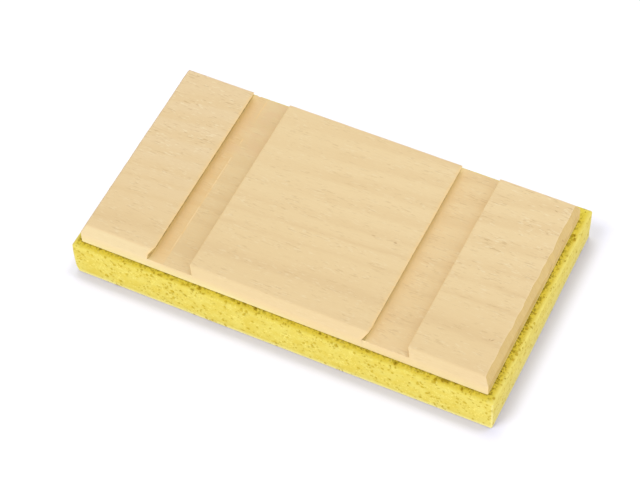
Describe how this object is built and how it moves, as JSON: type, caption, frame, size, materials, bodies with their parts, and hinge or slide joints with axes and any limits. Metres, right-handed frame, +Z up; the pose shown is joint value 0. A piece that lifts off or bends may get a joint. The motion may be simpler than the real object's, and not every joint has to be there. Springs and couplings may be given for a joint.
{
  "type": "float sponge pad",
  "caption": "Yellow cellulose sponge slab bonded under a bevelled wooden board with two dovetail grooves that take a float handle.",
  "frame": {"origin": "centre of the sponge's underside, the working face, which is the bottom centre of the bounding box", "axes": "+X along the long side and the wood's grain, to the right as seen from the front; +Y along the grooves, towards the back; +Z up, from the sponge to the board's top face"},
  "size_m": [0.2486, 0.1376, 0.0357],
  "materials": {
    "pale_wood": "planed and sanded, unfinished, with long grain along X",
    "dried_adhesive": "dried contact adhesive, amber brown, set back from the edge",
    "yellow_sponge": "open cellulose sponge, dry, irregular small pores"
  },
  "bodies": {
    "root": {"backing_board": "pale_wood", "adhesive_film": "dried_adhesive", "sponge": "yellow_sponge"}
  },
  "joints": []
}
